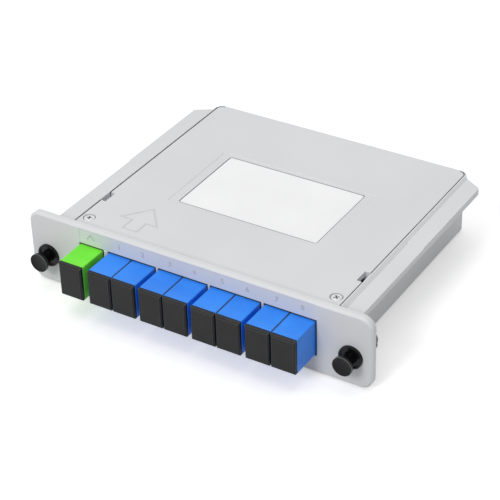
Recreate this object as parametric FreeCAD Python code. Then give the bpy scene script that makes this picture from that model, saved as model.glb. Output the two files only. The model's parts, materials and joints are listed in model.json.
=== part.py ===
import FreeCAD, Part
import math
import os

# Plug-in optical splitter cassette with one input port and eight output ports.
# Millimetres. X runs across the panel, Y from the panel's front face to the rear, Z up.

# Adapters: the input port stands alone, the output ports stand in pairs
ADAPTER_WIDTH = 9.0
ADAPTER_HEIGHT = 12.8
ADAPTER_FRONT = 11.0
ADAPTER_LENGTH = 27.0
ADAPTER_BEVEL = 0.25
INPUT_SPACING = 16.025
PAIR_PITCH = 19.85
PAIR_COUNT = 4
PAIR_GAP = 0.25
ROW_OFFSET = 0.5
PORT_CLEARANCE = 0.3
PORT_BEVEL = 0.35
FLANGE_OVERHANG = 1.6
FLANGE_THICKNESS = 2.0
FLANGE_GAP = 0.15
SOCKET_WIDTH = 7.5
SOCKET_HEIGHT = 9.1
WEB_THICKNESS = 3.6
SLEEVE_HOLDER_RADIUS = 2.6
SLEEVE_HOLDER_LENGTH = 12.6
SLEEVE_RADIUS = 1.6
SLEEVE_BORE = 1.27
SLEEVE_LENGTH = 11.4
SLEEVE_SLOT = 0.5
SLEEVE_GAP = 0.05
INNER_FLAT_COUNT = 8

# Box behind the panel, sized by the row of adapters and the flanges inside it
ROW_SIDE_SPACE = 2.6
WALL = 2.0
FLOOR = 1.8
FLANGE_LIFT = 3.55
FLANGE_HEADROOM = 0.35
BOX_DEPTH = 97.5
BOX_CORNER_RADIUS = 2.6
CAVITY_CORNER_RADIUS = 1.5
BOX_BOTTOM_BEVEL = 0.7
RIM_OVERHANG = 1.15
RIM_LAND = 0.4
RIM_EDGE_BEVEL = 0.3

# Cover
COVER_THICKNESS = 2.0
COVER_CORNER_RADIUS = 2.0
COVER_REAR_LAND = 0.65
COVER_GAP = 0.35
COVER_EDGE_BEVEL = 0.15
LIP_HEIGHT = 1.4
LIP_THICKNESS = 1.1
NOTCH_Y = 23.7
NOTCH_LENGTH = 5.8
NOTCH_DEPTH = 1.9
NOTCH_LEDGE_DEPTH = 0.6
NOTCH_WINDOW_DEPTH = 5.0
NOTCH_OUTER_WALL = 0.6

# Wings along both sides, which run in the rails of a chassis
WING_WIDTH = 6.95
WING_THICKNESS = 2.0
WING_DROP = 1.25
WING_REAR_STEP = 0.3
WING_REAR_STEP_Y = 49.0
WING_TAIL_LENGTH = 6.6
WING_TAIL_ANGLE = 31.0
WING_TAIL_ROUND = 1.2
FLANK_RUN = 1.2

# Front panel
PANEL_EAR = 7.2
PANEL_RISE = 3.0
PANEL_THICKNESS = 2.4
PANEL_CORNER_RADIUS = 4.5
PANEL_EDGE_BEVEL = 0.7
NUMBER_STRIP_DEPTH = 0.12
NUMBER_STRIP_MARGIN = 0.7

# Blank label and the two shallow recesses round it
LABEL_WIDTH = 53.4
LABEL_LENGTH = 33.7
LABEL_OFFSET = 0.325
LABEL_THICKNESS = 0.2
LABEL_CORNER_RADIUS = 1.0
LABEL_RECESS = 0.45
LABEL_GAP = 0.2
FIELD_SIDE_BORDER = 3.6
FIELD_END_BORDER = 1.45
FIELD_RECESS = 0.15

# Cover screws
SCREW_INSET = 2.6
SCREW_Y = 9.85
SCREW_HEAD_RADIUS = 1.9
SCREW_HEAD_HEIGHT = 1.2
SCREW_SHANK_RADIUS = 0.75
SCREW_LENGTH = 8.0
SCREW_GAP = 0.05
SCREW_RECESS_RADIUS = 2.2
SCREW_RECESS_DEPTH = 1.3
BOSS_RADIUS = 3.0
BOSS_GAP = 0.4

# Dust caps
CAP_THICKNESS = 1.5
CAP_INSET = 0.12
CAP_BEVEL = 0.55
CAP_SEAT_GAP = 0.05
PLUG_LENGTH = 6.0
PLUG_WALL = 1.0
PLUG_CLEARANCE = 0.05

# Connectors behind the adapters
CONNECTOR_LENGTH = 20.0
CONNECTOR_BEVEL = 0.6
CONNECTOR_GAP = 0.2
FERRULE_RADIUS = 1.25
FERRULE_MATING_GAP = 0.1
BOOT_LENGTH = 12.0
BOOT_COLLAR_LENGTH = 2.0
BOOT_ROOT_RADIUS = 2.6
BOOT_TIP_RADIUS = 1.2
FIBRE_RADIUS = 0.45
FIBRE_FLAT_COUNT = 4

# Push latches
LATCH_INSET = 7.3
LATCH_Z = 11.0
LATCH_HOLE_RADIUS = 3.6
LATCH_FIT = 0.08
FLANGE_RADIUS = 4.1
LATCH_FLANGE_THICKNESS = 1.0
FLANGE_DISH_WIDTH = 0.6
FLANGE_DISH_DEPTH = 0.6
LEG_LENGTH = 8.1
LEG_COUNT = 4
LEG_ANGLE = 70.0
BARB_RADIUS = 4.15
BARB_LENGTH = 3.6
BARB_TIP_RADIUS = 3.2
STEM_RADIUS = 2.1
KNOB_RADIUS = 3.4
KNOB_THICKNESS = 1.15
KNOB_BEVEL = 0.35
LATCH_TRAVEL = 4.0
KNOB_GAP = 0.5
LATCH_GAP = 0.2
STEM_TIP_RADIUS = 3.1
STEM_TIP_LENGTH = 1.2

# Splitter module
SPLITTER_LENGTH = 60.0
SPLITTER_WIDTH = 7.0
SPLITTER_HEIGHT = 4.0
SPLITTER_WALL = 0.4
SPLITTER_OFFSET = 1.0
SPLITTER_FROM_REAR = 46.0
SPLITTER_BOTTOM = 3.0
END_BOOT_COLLAR = 1.5
END_BOOT_DEPTH = 4.0
END_BOOT_CLEARANCE = 0.05
CHIP_LENGTH = 20.0
CHIP_WIDTH = 4.0
CHIP_GAP = 0.3
SADDLE_LENGTH = 5.0
SADDLE_WALL = 1.2
SADDLE_INSET = 12.0
SADDLE_CLEARANCE = 0.1
SADDLE_LIP = 0.35
SADDLE_LIP_HEIGHT = 0.6

# Fibre routes, measured from the inner faces of the walls
BEND_RADIUS = 12.0
LANE_PITCH = 1.0
LEVEL_PITCH = 1.0
REAR_LANE_SPACE = 4.5
LEFT_LANE_SPACE = 4.2
INPUT_LANE_SPACE = 2.7
INPUT_LANE_STEP = 5.0
STRAIGHT_OUT = 5.0
EASE_LENGTH = 3.0
OUTPUT_END_RUN = 1.0
INPUT_END_RUN = 0.5
FIRST_BEND_RUN = 30.0
BEND_STEP = 4.0
POST_RADIUS = 1.3
POST_FLAT_COUNT = 6
POST_GAP = 0.2
TAB_WIDTH = 2.4
TAB_THICKNESS = 0.9
TAB_GAP = 0.25
SLOPE_ROOM = 1.4

# Ribs that hold the adapters
RIB_THICKNESS = 1.5
RIB_GAP = 0.2

# How far a cutting shape runs past what it cuts, and how near an edge lies to its face
OVERCUT = 1.0
EDGE_REACH = 0.1

# Heights that follow from the sizes above
FLANGE_HEIGHT = ADAPTER_HEIGHT + 2 * FLANGE_OVERHANG
PORT_Z = FLOOR + FLANGE_LIFT + FLANGE_HEIGHT / 2
COVER_SEAT = PORT_Z + FLANGE_HEIGHT / 2 + FLANGE_HEADROOM
COVER_TOP = COVER_SEAT + COVER_THICKNESS
WING_TOP = COVER_TOP - WING_DROP
WING_BOTTOM = WING_TOP - WING_THICKNESS
PANEL_HEIGHT = COVER_TOP + PANEL_RISE
SPLITTER_Z = SPLITTER_BOTTOM + SPLITTER_HEIGHT / 2

# Places across the panel
PAIR_HALF = (ADAPTER_WIDTH + PAIR_GAP) / 2
ROW_WIDTH = INPUT_SPACING + PAIR_PITCH * (PAIR_COUNT - 1) + PAIR_HALF + ADAPTER_WIDTH
ROW_LEFT = ROW_OFFSET - ROW_WIDTH / 2
ROW_RIGHT = ROW_OFFSET + ROW_WIDTH / 2
INPUT_X = ROW_LEFT + ADAPTER_WIDTH / 2
PAIR_XS = [INPUT_X + INPUT_SPACING + PAIR_PITCH * pair for pair in range(PAIR_COUNT)]
OUTPUT_XS = [x + side * PAIR_HALF for x in PAIR_XS for side in (-1, 1)]
PORT_XS = [INPUT_X] + OUTPUT_XS
PORT_NAMES = ["in"] + ["out_%d" % (index + 1) for index in range(len(OUTPUT_XS))]
BOX_WIDTH = ROW_WIDTH + 2 * (ROW_OFFSET + ROW_SIDE_SPACE + WALL)
RIM_WIDTH = BOX_WIDTH + 2 * RIM_OVERHANG
COVER_WIDTH = RIM_WIDTH - 2 * (RIM_LAND + COVER_GAP)
WING_SPAN = RIM_WIDTH + 2 * WING_WIDTH
PANEL_WIDTH = WING_SPAN + 2 * PANEL_EAR
SCREW_X = BOX_WIDTH / 2 - SCREW_INSET
BOSS_INNER_X = ROW_RIGHT + BOSS_GAP
LATCH_X = PANEL_WIDTH / 2 - LATCH_INSET
FIELD_WIDTH = LABEL_WIDTH + 2 * FIELD_SIDE_BORDER
SPLITTER_LEFT_X = SPLITTER_OFFSET - SPLITTER_LENGTH / 2
SPLITTER_RIGHT_X = SPLITTER_OFFSET + SPLITTER_LENGTH / 2
LEFT_LANE_X = LEFT_LANE_SPACE + WALL - BOX_WIDTH / 2
INPUT_LANE_X = BOX_WIDTH / 2 - WALL - INPUT_LANE_SPACE
LANES = len(OUTPUT_XS) // 2
OUTPUT_END_RADIUS = SPLITTER_LEFT_X - END_BOOT_COLLAR - OUTPUT_END_RUN - LEFT_LANE_X
INPUT_END_RADIUS = INPUT_LANE_X - INPUT_END_RUN - END_BOOT_COLLAR - SPLITTER_RIGHT_X

# Places from front to rear
COVER_FRONT_Y = PANEL_THICKNESS + COVER_GAP
COVER_REAR_Y = BOX_DEPTH - COVER_REAR_LAND - COVER_GAP
LABEL_Y = (COVER_FRONT_Y + COVER_REAR_Y) / 2 + LABEL_OFFSET
FIELD_LENGTH = LABEL_LENGTH + 2 * FIELD_END_BORDER
WING_TAIL_Y = BOX_DEPTH - WING_TAIL_LENGTH
ADAPTER_REAR = ADAPTER_LENGTH - ADAPTER_FRONT
ADAPTER_MIDDLE = ADAPTER_REAR - ADAPTER_LENGTH / 2
FLANGE_FRONT = PANEL_THICKNESS + FLANGE_GAP
RIB_FRONT = FLANGE_FRONT + FLANGE_THICKNESS + RIB_GAP
HOLDER_FRONT = ADAPTER_MIDDLE - SLEEVE_HOLDER_LENGTH / 2
HOLDER_REAR = ADAPTER_MIDDLE + SLEEVE_HOLDER_LENGTH / 2
CONNECTOR_FRONT = HOLDER_REAR + CONNECTOR_GAP
CONNECTOR_REAR = CONNECTOR_FRONT + CONNECTOR_LENGTH
BOOT_END = CONNECTOR_REAR + BOOT_LENGTH
SPLITTER_Y = BOX_DEPTH - SPLITTER_FROM_REAR
REAR_LANE_Y = BOX_DEPTH - WALL - REAR_LANE_SPACE
INPUT_REAR_Y = REAR_LANE_Y - INPUT_LANE_STEP
FRONT_OF_CAPS = ADAPTER_FRONT + CAP_SEAT_GAP + CAP_THICKNESS
MIDDLE_Y = (BOX_DEPTH - FRONT_OF_CAPS) / 2


def point(x, y, z):
    return FreeCAD.Vector(x, y, z)


def block(low, high):
    size = [b - a for a, b in zip(low, high)]
    return Part.makeBox(size[0], size[1], size[2], point(*low))


def cylinder_y(x, z, radius, front, rear):
    return Part.makeCylinder(radius, rear - front, point(x, front, z), point(0, 1, 0))


def cylinder_z(x, y, radius, bottom, top):
    return Part.makeCylinder(radius, top - bottom, point(x, y, bottom), point(0, 0, 1))


def prism(corners, direction):
    outline = Part.makePolygon(corners + corners[:1])
    return Part.Face(outline).extrude(direction)


def flat_sided(centre, axis, start, radius, flats):
    # A closed outline with equal flats, square to the axis. The flats lie at the radius,
    # and start is a direction across the axis that one flat faces.
    corners = []
    reach = radius / math.cos(math.pi / flats)
    for index in range(flats):
        turn = FreeCAD.Rotation(axis, 360.0 / flats * (index + 0.5))
        corners.append(centre + turn.multVec(start) * reach)
    return Part.makePolygon(corners + corners[:1])


def flat_sided_y(x, radius, front, rear, rear_radius=None):
    # A straight or tapered bar with flats, along Y on a port's axis.
    if rear_radius is None:
        rear_radius = radius
    rings = []
    for y, size in ((front, radius), (rear, rear_radius)):
        centre = point(x, y, PORT_Z)
        ring = flat_sided(centre, point(0, 1, 0), point(1, 0, 0), size, INNER_FLAT_COUNT)
        rings.append([vertex.Point for vertex in ring.OrderedVertexes])
    faces = [Part.Face(Part.makePolygon(ring + ring[:1])) for ring in rings]
    near, far = [ring + ring[:1] for ring in rings]
    for index in range(INNER_FLAT_COUNT):
        corners = [near[index], near[index + 1], far[index + 1], far[index]]
        faces.append(Part.Face(Part.makePolygon(corners + corners[:1])))
    return Part.makeSolid(Part.makeShell(faces))


def turned_y(x, z, profile, start=0, sweep=360):
    # The profile is a list of (radius, y) pairs, turned about an axis along Y.
    corners = [point(x + radius, y, z) for radius, y in profile]
    section = Part.Face(Part.makePolygon(corners + corners[:1]))
    section.rotate(point(x, 0, z), point(0, 1, 0), start)
    return section.revolve(point(x, 0, z), point(0, 1, 0), sweep)


def edges_along(shape, axis, test):
    found = []
    for edge in shape.Edges:
        if len(edge.Vertexes) != 2:
            continue
        if not isinstance(edge.Curve, Part.Line):
            continue
        run = edge.Vertexes[1].Point - edge.Vertexes[0].Point
        if abs(run.normalize().dot(axis)) > 0.999 and test(edge.CenterOfMass):
            found.append(edge)
    return found


def port_bar(x, width, height, front, rear, bevel):
    # A bar along Y, centred on a port, with bevelled long edges.
    bar = block(
        (x - width / 2, front, PORT_Z - height / 2),
        (x + width / 2, rear, PORT_Z + height / 2),
    )
    return bar.makeChamfer(bevel, edges_along(bar, point(0, 1, 0), lambda middle: True))


def plan_plate(half_width, front, rear, corner_radius, bottom, top):
    # A plate with square front corners and rounded rear corners.
    plate = block((-half_width, front, bottom), (half_width, rear, top))
    corners = edges_along(plate, point(0, 0, 1), lambda middle: middle.y > (front + rear) / 2)
    return plate.makeFillet(corner_radius, corners)


def field(width, length, corner_radius, bottom, top):
    # A rounded rectangle centred on the label.
    plate = block(
        (-width / 2, LABEL_Y - length / 2, bottom),
        (width / 2, LABEL_Y + length / 2, top),
    )
    return plate.makeFillet(corner_radius, edges_along(plate, point(0, 0, 1), lambda middle: True))


def front_panel():
    plate = block((-PANEL_WIDTH / 2, 0, 0), (PANEL_WIDTH / 2, PANEL_THICKNESS, PANEL_HEIGHT))
    plate = plate.makeFillet(PANEL_CORNER_RADIUS, edges_along(plate, point(0, 1, 0), lambda m: True))
    front_edges = [edge for edge in plate.Edges if edge.BoundBox.YMax < PANEL_THICKNESS / 2]
    plate = plate.makeChamfer(PANEL_EDGE_BEVEL, front_edges)
    strip = block(
        (ROW_LEFT, 0, PORT_Z + ADAPTER_HEIGHT / 2 + PORT_CLEARANCE),
        (ROW_RIGHT, NUMBER_STRIP_DEPTH, PANEL_HEIGHT - NUMBER_STRIP_MARGIN),
    )
    plate = plate.cut(strip)
    for side in (-1, 1):
        plate = plate.cut(cylinder_y(
            side * LATCH_X, LATCH_Z, LATCH_HOLE_RADIUS, -OVERCUT, PANEL_THICKNESS + OVERCUT
        ))
    return plate


def port_openings():
    # One opening for the input adapter and one for each pair of output adapters.
    spans = [(INPUT_X, ADAPTER_WIDTH / 2)] + [(x, PAIR_HALF + ADAPTER_WIDTH / 2) for x in PAIR_XS]
    half_height = ADAPTER_HEIGHT / 2 + PORT_CLEARANCE
    openings = []
    for x, half_span in spans:
        half_width = half_span + PORT_CLEARANCE
        hole = block(
            (x - half_width, -OVERCUT, PORT_Z - half_height),
            (x + half_width, PANEL_THICKNESS + OVERCUT, PORT_Z + half_height),
        )
        outlines = []
        for y, spread in ((-PORT_BEVEL, 2 * PORT_BEVEL), (PORT_BEVEL, 0)):
            corners = [
                point(x + sx * (half_width + spread), y, PORT_Z + sz * (half_height + spread))
                for sx, sz in ((-1, -1), (1, -1), (1, 1), (-1, 1))
            ]
            outlines.append(Part.makePolygon(corners + corners[:1]))
        mouth = Part.makeLoft(outlines, True, True)
        openings.append(hole.fuse(mouth))
    return openings


def wing_outline(bottom, top, front):
    # The plan of both wings: straight sides, angled tails and rounded tips.
    outer = WING_SPAN / 2
    slope = math.tan(math.radians(WING_TAIL_ANGLE))
    inner = outer - (BOX_DEPTH - WING_TAIL_Y) / slope
    corners = [
        point(-outer, front, bottom),
        point(outer, front, bottom),
        point(outer, WING_TAIL_Y, bottom),
        point(inner, BOX_DEPTH, bottom),
        point(-inner, BOX_DEPTH, bottom),
        point(-outer, WING_TAIL_Y, bottom),
    ]
    plan = prism(corners, point(0, 0, top - bottom))
    tips = edges_along(
        plan, point(0, 0, 1), lambda m: abs(m.x) > outer - EDGE_REACH and m.y > front + EDGE_REACH
    )
    return plan.makeFillet(WING_TAIL_ROUND, tips)


def wings():
    front_part = wing_outline(WING_BOTTOM, WING_TOP, PANEL_THICKNESS / 2)
    raised = wing_outline(WING_BOTTOM, WING_TOP + WING_REAR_STEP, PANEL_THICKNESS / 2)
    step_cut = block(
        (-WING_SPAN, 0, WING_BOTTOM - OVERCUT),
        (WING_SPAN, WING_REAR_STEP_Y, COVER_TOP),
    )
    return front_part.fuse(raised.cut(step_cut))


def flanks():
    # The sloping shoulder from the rim down to each wing, carried round the rear corner.
    rim = RIM_WIDTH / 2
    centre_x = rim - BOX_CORNER_RADIUS
    centre_y = BOX_DEPTH - BOX_CORNER_RADIUS
    shoulder = None
    for side in (-1, 1):
        section = [
            point(side * (rim - RIM_LAND / 2), centre_y, WING_BOTTOM),
            point(side * (rim + FLANK_RUN), centre_y, WING_BOTTOM),
            point(side * (rim + FLANK_RUN), centre_y, WING_TOP),
            point(side * rim, centre_y, COVER_TOP),
            point(side * (rim - RIM_LAND / 2), centre_y, COVER_TOP),
        ]
        face = Part.Face(Part.makePolygon(section + section[:1]))
        straight = face.extrude(point(0, PANEL_THICKNESS / 2 - centre_y, 0))
        corner = face.revolve(point(side * centre_x, centre_y, 0), point(0, 0, 1), side * 90)
        piece = straight.fuse(corner)
        shoulder = piece if shoulder is None else shoulder.fuse(piece)
    return shoulder.common(wing_outline(WING_BOTTOM, COVER_TOP, PANEL_THICKNESS / 2))


def box_shell():
    half = BOX_WIDTH / 2
    inset = (RIM_WIDTH - BOX_WIDTH) / 2
    tub = plan_plate(half, PANEL_THICKNESS / 2, BOX_DEPTH, BOX_CORNER_RADIUS - inset, 0, COVER_SEAT)
    bottom_edges = [
        edge for edge in tub.Edges
        if edge.BoundBox.ZMax < EDGE_REACH and edge.BoundBox.YMax > PANEL_THICKNESS
    ]
    tub = tub.makeChamfer(BOX_BOTTOM_BEVEL, bottom_edges)
    rim = plan_plate(
        RIM_WIDTH / 2, PANEL_THICKNESS / 2, BOX_DEPTH, BOX_CORNER_RADIUS, WING_BOTTOM, COVER_TOP
    )
    rear_edge = edges_along(
        rim, point(1, 0, 0), lambda m: m.y > BOX_DEPTH - EDGE_REACH and m.z > COVER_SEAT
    )
    rim = rim.makeChamfer(RIM_EDGE_BEVEL, rear_edge)
    shell = tub.fuse([rim, wings(), flanks()])
    seat = plan_plate(
        COVER_WIDTH / 2 + COVER_GAP, PANEL_THICKNESS, COVER_REAR_Y + COVER_GAP,
        COVER_CORNER_RADIUS + COVER_GAP, COVER_SEAT, COVER_TOP + OVERCUT,
    )
    cavity = plan_plate(
        half - WALL, PANEL_THICKNESS, BOX_DEPTH - WALL, CAVITY_CORNER_RADIUS, FLOOR, COVER_TOP
    )
    return shell.cut(seat.fuse(cavity))


def notch_cut(side, inner, outer, bottom, top):
    # A square cut at a notch's place, from one distance off the middle to another.
    low, high = sorted((side * inner, side * outer))
    return block(
        (low, NOTCH_Y - NOTCH_LENGTH / 2, bottom),
        (high, NOTCH_Y + NOTCH_LENGTH / 2, top),
    )


def notch_pockets():
    # Under each notch of the cover: a shallow ledge, and a window into the box.
    inner = COVER_WIDTH / 2 - NOTCH_DEPTH
    wall = BOX_WIDTH / 2
    ledge_bottom = COVER_SEAT - NOTCH_LEDGE_DEPTH
    window_bottom = COVER_SEAT - NOTCH_WINDOW_DEPTH
    top = COVER_SEAT + OVERCUT
    cuts = []
    for side in (-1, 1):
        cuts.append(notch_cut(side, inner, COVER_WIDTH / 2, ledge_bottom, top))
        cuts.append(notch_cut(
            side, wall - WALL - OVERCUT, wall - NOTCH_OUTER_WALL, window_bottom, top
        ))
    return cuts


def screw_bosses():
    bosses = []
    for side in (-1, 1):
        post = cylinder_z(side * SCREW_X, SCREW_Y, BOSS_RADIUS, FLOOR / 2, COVER_SEAT)
        inner = side * BOSS_INNER_X
        outer = side * (BOX_WIDTH / 2 - WALL / 2)
        keep = block(
            (min(inner, outer), SCREW_Y - BOSS_RADIUS, 0),
            (max(inner, outer), SCREW_Y + BOSS_RADIUS, COVER_SEAT),
        )
        bosses.append(post.common(keep))
    return bosses


def screw_pilots():
    bottom = COVER_SEAT - SCREW_LENGTH - OVERCUT
    radius = SCREW_SHANK_RADIUS + SCREW_GAP
    return [cylinder_z(side * SCREW_X, SCREW_Y, radius, bottom, COVER_SEAT + OVERCUT)
            for side in (-1, 1)]


def adapter_ribs():
    # A cross rib behind the flanges, a second one under the adapters' rear ends,
    # and a post in each space between two openings.
    half = BOX_WIDTH / 2 - WALL / 2
    under = PORT_Z - ADAPTER_HEIGHT / 2 - RIB_GAP
    ribs = []
    for front in (RIB_FRONT, ADAPTER_REAR - 2 * RIB_THICKNESS):
        ribs.append(block((-half, front, FLOOR / 2), (half, front + RIB_THICKNESS, under)))
    pair_reach = PAIR_HALF + ADAPTER_WIDTH / 2
    edges = [(INPUT_X + ADAPTER_WIDTH / 2, PAIR_XS[0] - pair_reach)]
    for left, right in zip(PAIR_XS, PAIR_XS[1:]):
        edges.append((left + pair_reach, right - pair_reach))
    top = PORT_Z + ADAPTER_HEIGHT / 2
    for left, right in edges:
        ribs.append(block(
            (left + PORT_CLEARANCE, RIB_FRONT, FLOOR / 2),
            (right - PORT_CLEARANCE, RIB_FRONT + RIB_THICKNESS, top),
        ))
    return ribs


def saddles():
    # Two snap saddles carry the splitter module above the floor.
    inner = SPLITTER_WIDTH / 2 + SADDLE_CLEARANCE
    outer = inner + SADDLE_WALL
    top = SPLITTER_BOTTOM + SPLITTER_HEIGHT + SADDLE_CLEARANCE
    lip_top = top + SADDLE_LIP_HEIGHT
    section = [
        (-outer, FLOOR / 2), (outer, FLOOR / 2), (outer, lip_top), (inner, lip_top),
        (inner - SADDLE_LIP, top + SADDLE_LIP_HEIGHT / 2), (inner, top),
        (inner, SPLITTER_BOTTOM), (-inner, SPLITTER_BOTTOM), (-inner, top),
        (SADDLE_LIP - inner, top + SADDLE_LIP_HEIGHT / 2), (-inner, lip_top), (-outer, lip_top),
    ]
    found = []
    for left in (SPLITTER_LEFT_X + SADDLE_INSET, SPLITTER_RIGHT_X - SADDLE_INSET - SADDLE_LENGTH):
        corners = [point(left, SPLITTER_Y + y, z) for y, z in section]
        found.append(prism(corners, point(SADDLE_LENGTH, 0, 0)))
    return found


def guide_post(centre_x, centre_y, bend_radius, angle, fibre_top, reach):
    # A post inside a bend, with a tab that keeps the fibres down.
    direction = point(math.cos(math.radians(angle)), math.sin(math.radians(angle)), 0)
    distance = bend_radius - FIBRE_RADIUS - POST_GAP - POST_RADIUS
    foot = point(centre_x, centre_y, 0) + direction * distance
    tab_bottom = fibre_top + TAB_GAP
    tab_top = tab_bottom + TAB_THICKNESS
    foot_outline = flat_sided(
        foot + point(0, 0, FLOOR / 2), point(0, 0, 1), direction, POST_RADIUS, POST_FLAT_COUNT
    )
    post = Part.Face(foot_outline).extrude(point(0, 0, tab_top - FLOOR / 2))
    tab = block((0, -TAB_WIDTH / 2, tab_bottom), (reach, TAB_WIDTH / 2, tab_top))
    tab.rotate(point(0, 0, 0), point(0, 0, 1), angle)
    tab.translate(foot)
    return post.fuse(tab)


def fibre_guides():
    bundle = (LANES - 1) * LANE_PITCH
    upper = LEVEL_PITCH / 2 + FIBRE_RADIUS
    one_reach = POST_RADIUS + POST_GAP + 2 * FIBRE_RADIUS
    all_reach = one_reach + bundle
    output_x = LEFT_LANE_X + OUTPUT_END_RADIUS
    output_y = SPLITTER_Y + bundle / 2 + OUTPUT_END_RADIUS
    input_x = INPUT_LANE_X - INPUT_END_RADIUS
    input_y = SPLITTER_Y + INPUT_END_RADIUS
    left_x = LEFT_LANE_X + BEND_RADIUS
    rear_y = REAR_LANE_Y - BEND_RADIUS
    lower_y = INPUT_REAR_Y - BEND_RADIUS
    low_top = SPLITTER_Z + FIBRE_RADIUS
    slope_top = SPLITTER_Z + upper + SLOPE_ROOM
    return [
        guide_post(left_x, rear_y, BEND_RADIUS, 112, PORT_Z + upper, all_reach),
        guide_post(left_x, rear_y, BEND_RADIUS, 150, PORT_Z + upper, all_reach),
        guide_post(output_x, output_y, OUTPUT_END_RADIUS, 225, slope_top, all_reach),
        guide_post(input_x, input_y, INPUT_END_RADIUS, -45, low_top, one_reach),
        guide_post(INPUT_LANE_X - BEND_RADIUS, lower_y, BEND_RADIUS, 45, low_top, one_reach),
        guide_post(
            INPUT_X + BEND_RADIUS, lower_y, BEND_RADIUS, 115, low_top + SLOPE_ROOM / 2, one_reach
        ),
    ]


def base_housing():
    housing = box_shell().fuse(front_panel())
    housing = housing.fuse(adapter_ribs() + screw_bosses() + saddles() + fibre_guides())
    housing = housing.cut(port_openings() + screw_pilots() + notch_pockets())
    return housing.removeSplitter()


def top_cover():
    half = COVER_WIDTH / 2
    plate = plan_plate(
        half, COVER_FRONT_Y, COVER_REAR_Y, COVER_CORNER_RADIUS, COVER_SEAT, COVER_TOP
    )
    top_edges = [edge for edge in plate.Edges if edge.BoundBox.ZMin > COVER_TOP - EDGE_REACH]
    plate = plate.makeChamfer(COVER_EDGE_BEVEL, top_edges)
    lip_half = BOX_WIDTH / 2 - WALL - COVER_GAP
    lip_rear = BOX_DEPTH - WALL - COVER_GAP
    lip_front = SCREW_Y + BOSS_RADIUS + COVER_GAP
    lip_bottom = COVER_SEAT - LIP_HEIGHT
    inside_plate = COVER_SEAT + COVER_THICKNESS / 4
    lip = plan_plate(
        lip_half, lip_front, lip_rear, CAVITY_CORNER_RADIUS, lip_bottom, inside_plate
    )
    hollow = plan_plate(
        lip_half - LIP_THICKNESS, lip_front - OVERCUT, lip_rear - LIP_THICKNESS,
        CAVITY_CORNER_RADIUS - LIP_THICKNESS, lip_bottom - OVERCUT, COVER_SEAT,
    )
    clamp_half = BOSS_INNER_X - COVER_GAP
    clamp = block(
        (-clamp_half, RIB_FRONT, PORT_Z + ADAPTER_HEIGHT / 2 + RIB_GAP),
        (clamp_half, RIB_FRONT + RIB_THICKNESS, inside_plate),
    )
    cover = plate.fuse([lip.cut(hollow), clamp])
    floor_of_field = COVER_TOP - FIELD_RECESS
    outer_field = field(
        FIELD_WIDTH, FIELD_LENGTH, LABEL_CORNER_RADIUS, floor_of_field, COVER_TOP + OVERCUT
    )
    pocket = field(
        LABEL_WIDTH + 2 * LABEL_GAP, LABEL_LENGTH + 2 * LABEL_GAP, LABEL_CORNER_RADIUS + LABEL_GAP,
        floor_of_field - LABEL_RECESS, COVER_TOP + OVERCUT,
    )
    cuts = [outer_field, pocket]
    bottom, top = COVER_SEAT - OVERCUT, COVER_TOP + OVERCUT
    recess_floor = COVER_TOP - SCREW_RECESS_DEPTH
    shank = SCREW_SHANK_RADIUS + 4 * SCREW_GAP
    for side in (-1, 1):
        cuts.append(notch_cut(side, half - NOTCH_DEPTH, half + OVERCUT, bottom, top))
        cuts.append(cylinder_z(side * SCREW_X, SCREW_Y, shank, bottom, top))
        cuts.append(cylinder_z(side * SCREW_X, SCREW_Y, SCREW_RECESS_RADIUS, recess_floor, top))
    return cover.cut(cuts).removeSplitter()


def cover_screws():
    screws = []
    head_bottom = COVER_TOP - SCREW_RECESS_DEPTH
    head_top = head_bottom + SCREW_HEAD_HEIGHT
    for side in (-1, 1):
        x = side * SCREW_X
        head = cylinder_z(x, SCREW_Y, SCREW_HEAD_RADIUS, head_bottom, head_top)
        crown = [edge for edge in head.Edges if edge.BoundBox.ZMin > head_top - EDGE_REACH]
        head = head.makeChamfer(SCREW_HEAD_HEIGHT / 4, crown)
        outline = flat_sided(
            point(x, SCREW_Y, head_bottom), point(0, 0, 1), point(1, 0, 0),
            SCREW_SHANK_RADIUS * math.cos(math.pi / INNER_FLAT_COUNT), INNER_FLAT_COUNT,
        )
        shank = Part.Face(outline).extrude(point(0, 0, SCREW_HEAD_HEIGHT - SCREW_LENGTH))
        screws.append(head.fuse(shank))
    return Part.makeCompound(screws)


def blank_label():
    bottom = COVER_TOP - FIELD_RECESS - LABEL_RECESS
    return field(LABEL_WIDTH, LABEL_LENGTH, LABEL_CORNER_RADIUS, bottom, bottom + LABEL_THICKNESS)


def adapter(x):
    front = -ADAPTER_FRONT
    body = port_bar(x, ADAPTER_WIDTH, ADAPTER_HEIGHT, front, ADAPTER_REAR, ADAPTER_BEVEL)
    flange = block(
        (x - ADAPTER_WIDTH / 2, FLANGE_FRONT, PORT_Z - FLANGE_HEIGHT / 2),
        (x + ADAPTER_WIDTH / 2, FLANGE_FRONT + FLANGE_THICKNESS, PORT_Z + FLANGE_HEIGHT / 2),
    )
    body = body.fuse(flange)
    web_front = ADAPTER_MIDDLE - WEB_THICKNESS / 2
    web_rear = ADAPTER_MIDDLE + WEB_THICKNESS / 2
    for low, high in ((front - OVERCUT, web_front), (web_rear, ADAPTER_REAR + OVERCUT)):
        body = body.cut(block(
            (x - SOCKET_WIDTH / 2, low, PORT_Z - SOCKET_HEIGHT / 2),
            (x + SOCKET_WIDTH / 2, high, PORT_Z + SOCKET_HEIGHT / 2),
        ))
    body = body.fuse(flat_sided_y(x, SLEEVE_HOLDER_RADIUS, HOLDER_FRONT, HOLDER_REAR))
    bore = SLEEVE_RADIUS + SLEEVE_GAP
    return body.cut(flat_sided_y(x, bore, HOLDER_FRONT - OVERCUT, HOLDER_REAR + OVERCUT))


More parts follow.
